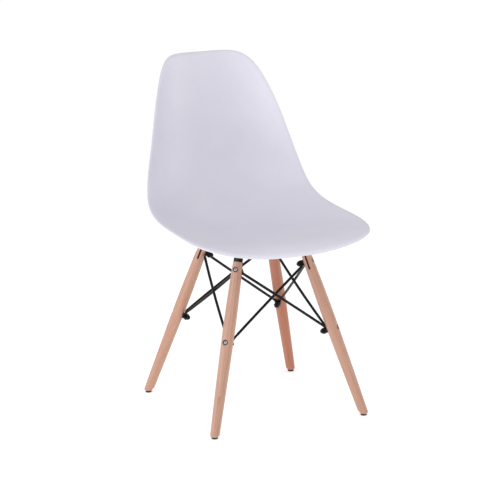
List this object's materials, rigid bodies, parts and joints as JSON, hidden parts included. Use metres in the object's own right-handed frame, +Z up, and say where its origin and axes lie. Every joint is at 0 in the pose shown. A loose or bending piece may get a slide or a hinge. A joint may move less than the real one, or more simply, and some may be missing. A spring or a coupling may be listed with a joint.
{
  "type": "dining chair",
  "caption": "Side chair with a one-piece moulded seat and back shell on splayed turned wooden legs tied by black steel cross braces.",
  "frame": {"origin": "on the floor, under the middle of the chair's overall width and depth", "axes": "+Z up, the chair faces -Y, +X is the chair's own left"},
  "size_m": [0.472, 0.538, 0.8218],
  "materials": {
    "shell_plastic": "satin moulded polypropylene, cool white",
    "beech": "clear matt lacquer on steamed beech",
    "black_steel": "black powder coat",
    "zinc_steel": "bright zinc plate",
    "glide_plastic": "black moulded plastic",
    "mount_rubber": "black rubber"
  },
  "bodies": {
    "root": {"seat_shell": "shell_plastic", "leg_front_right": "beech", "foot_glide_front_right": "glide_plastic", "leg_bracket_front_right": "black_steel", "seat_mount_front_right": "mount_rubber", "mount_insert_front_right": "zinc_steel", "seat_screw_front_right": "zinc_steel", "seat_washer_front_right": "zinc_steel", "upper_bolt_front_right": "zinc_steel", "upper_cap_nut_front_right": "black_steel", "lower_bolt_front_right": "zinc_steel", "lower_cap_nut_front_right": "black_steel", "leg_front_left": "beech", "foot_glide_front_left": "glide_plastic", "leg_bracket_front_left": "black_steel", "seat_mount_front_left": "mount_rubber", "mount_insert_front_left": "zinc_steel", "seat_screw_front_left": "zinc_steel", "seat_washer_front_left": "zinc_steel", "upper_bolt_front_left": "zinc_steel", "upper_cap_nut_front_left": "black_steel", "lower_bolt_front_left": "zinc_steel", "lower_cap_nut_front_left": "black_steel", "leg_rear_left": "beech", "foot_glide_rear_left": "glide_plastic", "leg_bracket_rear_left": "black_steel", "seat_mount_rear_left": "mount_rubber", "mount_insert_rear_left": "zinc_steel", "seat_screw_rear_left": "zinc_steel", "seat_washer_rear_left": "zinc_steel", "upper_bolt_rear_left": "zinc_steel", "upper_cap_nut_rear_left": "black_steel", "lower_bolt_rear_left": "zinc_steel", "lower_cap_nut_rear_left": "black_steel", "leg_rear_right": "beech", "foot_glide_rear_right": "glide_plastic", "leg_bracket_rear_right": "black_steel", "seat_mount_rear_right": "mount_rubber", "mount_insert_rear_right": "zinc_steel", "seat_screw_rear_right": "zinc_steel", "seat_washer_rear_right": "zinc_steel", "upper_bolt_rear_right": "zinc_steel", "upper_cap_nut_rear_right": "black_steel", "lower_bolt_rear_right": "zinc_steel", "lower_cap_nut_rear_right": "black_steel", "frame_rod_front": "black_steel", "brace_front_outer": "black_steel", "brace_front_inner": "black_steel", "frame_rod_left": "black_steel", "brace_left_outer": "black_steel", "brace_left_inner": "black_steel", "frame_rod_rear": "black_steel", "brace_rear_outer": "black_steel", "brace_rear_inner": "black_steel", "frame_rod_right": "black_steel", "brace_right_outer": "black_steel", "brace_right_inner": "black_steel"}
  },
  "joints": []
}
